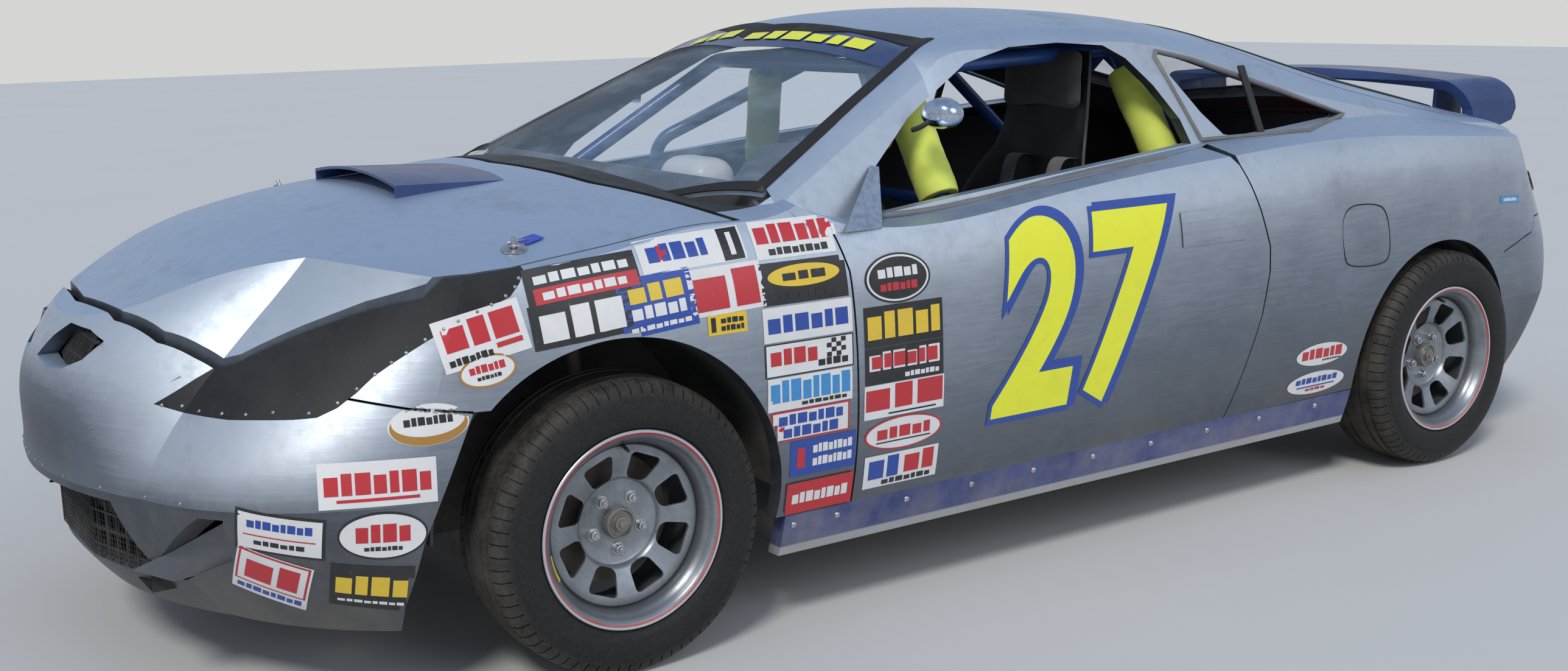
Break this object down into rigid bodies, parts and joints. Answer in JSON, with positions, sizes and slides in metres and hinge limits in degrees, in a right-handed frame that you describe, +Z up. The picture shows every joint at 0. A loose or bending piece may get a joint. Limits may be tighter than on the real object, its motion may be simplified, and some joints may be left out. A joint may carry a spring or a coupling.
{
  "type": "stock car",
  "caption": "Two-door compact stock car with a stripped cabin, roll cage, hood scoop and tail wing; its wheels spin and steer, and the hood and hatch open.",
  "frame": {"origin": "on the ground under the middle of the whole car's bounding box", "axes": "+X to the car's left, +Y to its tail, +Z up"},
  "size_m": [1.775, 4.3351, 1.3043],
  "materials": {
    "bare_silver": "worn bare silver sheet",
    "lamp_sheet": "charcoal riveted sheet",
    "mesh_wire": "dusty black wire mesh",
    "rocker_blue": "gloss blue",
    "wing_blue": "satin dark blue",
    "cage_blue": "gloss blue tube",
    "pad_foam": "closed-cell foam",
    "clear_sheet": "clear sheet",
    "lamp_red": "dark lamp lens",
    "floor_paint": "dull grey paint",
    "frame_paint": "dull black",
    "black_metal": "satin black",
    "dash_cover": "dull grey",
    "seat_cloth": "black seat cover",
    "engine_iron": "cast",
    "radiator_core": "finned core",
    "exhaust_steel": "heat-tinted",
    "fuel_cell_red": "satin red",
    "bright_steel": "machined",
    "knuckle_iron": "rusty casting",
    "wheel_steel": "silver enamel",
    "tyre_rubber": "dusty"
  },
  "bodies": {
    "car_body": {"floor_pan": "floor_paint", "rear_floor": "floor_paint", "front_frame": "frame_paint", "roll_cage": "cage_blue", "cage_pads": "pad_foam", "dashboard": "dash_cover", "steering_column": "black_metal", "race_seat": "seat_cloth", "engine_block": "engine_iron", "radiator": "radiator_core", "exhaust_pipe": "exhaust_steel", "fuel_cell": "fuel_cell_red", "rear_suspension": "frame_paint", "nose_bumper": "bare_silver", "headlight_covers": "lamp_sheet", "grille_mesh": "mesh_wire", "left_fender": "bare_silver", "right_fender": "bare_silver", "cowl": "black_metal", "roof": "bare_silver", "windshield": "clear_sheet", "left_door": "bare_silver", "right_door": "bare_silver", "left_quarter": "bare_silver", "right_quarter": "bare_silver", "rear_bumper": "bare_silver", "tail_lights": "lamp_red", "rocker_panels": "rocker_blue"},
    "hood_panel": {"hood": "bare_silver", "hood_scoop": "wing_blue"},
    "hatch_panel": {"hatch": "bare_silver", "rear_glass": "clear_sheet", "wing": "wing_blue"},
    "steering_wheel": {"steering_wheel": "black_metal"},
    "tie_rods": {"tie_rods": "bright_steel"},
    "left_front_knuckle": {"left_front_knuckle": "knuckle_iron"},
    "right_front_knuckle": {"right_front_knuckle": "knuckle_iron"},
    "left_front_wheel": {"left_front_wheel": "wheel_steel", "left_front_tyre": "tyre_rubber"},
    "right_front_wheel": {"right_front_wheel": "wheel_steel", "right_front_tyre": "tyre_rubber"},
    "left_rear_wheel": {"left_rear_wheel": "wheel_steel", "left_rear_tyre": "tyre_rubber"},
    "right_rear_wheel": {"right_rear_wheel": "wheel_steel", "right_rear_tyre": "tyre_rubber"}
  },
  "joints": [
    {"name": "left_steer", "type": "hinge", "parent": "car_body", "child": "left_front_knuckle", "pos_m": [0.672, -1.2175, 0.185], "axis": [-0.1539, 0, 0.9881], "range_deg": [-27, 27]},
    {"name": "right_steer", "type": "hinge", "parent": "car_body", "child": "right_front_knuckle", "pos_m": [-0.672, -1.2175, 0.185], "axis": [0.1539, 0, 0.9881], "range_deg": [-27, 27]},
    {"name": "steering_wheel_turn", "type": "hinge", "parent": "car_body", "child": "steering_wheel", "pos_m": [0.365, -0.33, 0.77], "axis": [0, 0.9363, 0.3511], "range_deg": [-390, 390]},
    {"name": "tie_rod_slide", "type": "slide", "parent": "car_body", "child": "tie_rods", "axis": [1, 0, 0], "range_m": [-0.053, 0.053]},
    {"name": "hood_hinge", "type": "hinge", "parent": "car_body", "child": "hood_panel", "pos_m": [0, -0.88, 0.87], "axis": [-1, 0, 0], "range_deg": [0, 55]},
    {"name": "hatch_hinge", "type": "hinge", "parent": "car_body", "child": "hatch_panel", "pos_m": [0, 0.832, 1.262], "axis": [1, 0, 0], "range_deg": [0, 60]},
    {"name": "left_front_spin", "type": "hinge", "parent": "left_front_knuckle", "child": "left_front_wheel", "pos_m": [0.753, -1.2175, 0.305], "axis": [1, 0, 0], "continuous": true},
    {"name": "right_front_spin", "type": "hinge", "parent": "right_front_knuckle", "child": "right_front_wheel", "pos_m": [-0.753, -1.2175, 0.305], "axis": [1, 0, 0], "continuous": true},
    {"name": "left_rear_spin", "type": "hinge", "parent": "car_body", "child": "left_rear_wheel", "pos_m": [0.785, 1.3825, 0.305], "axis": [1, 0, 0], "continuous": true},
    {"name": "right_rear_spin", "type": "hinge", "parent": "car_body", "child": "right_rear_wheel", "pos_m": [-0.785, 1.3825, 0.305], "axis": [1, 0, 0], "continuous": true}
  ],
  "couplings": [
    {"joint": "right_steer", "follows": "left_steer", "ratio": 1},
    {"joint": "steering_wheel_turn", "follows": "left_steer", "ratio": 14},
    {"joint": "tie_rod_slide", "follows": "left_steer", "m_per_rad": -0.11}
  ]
}
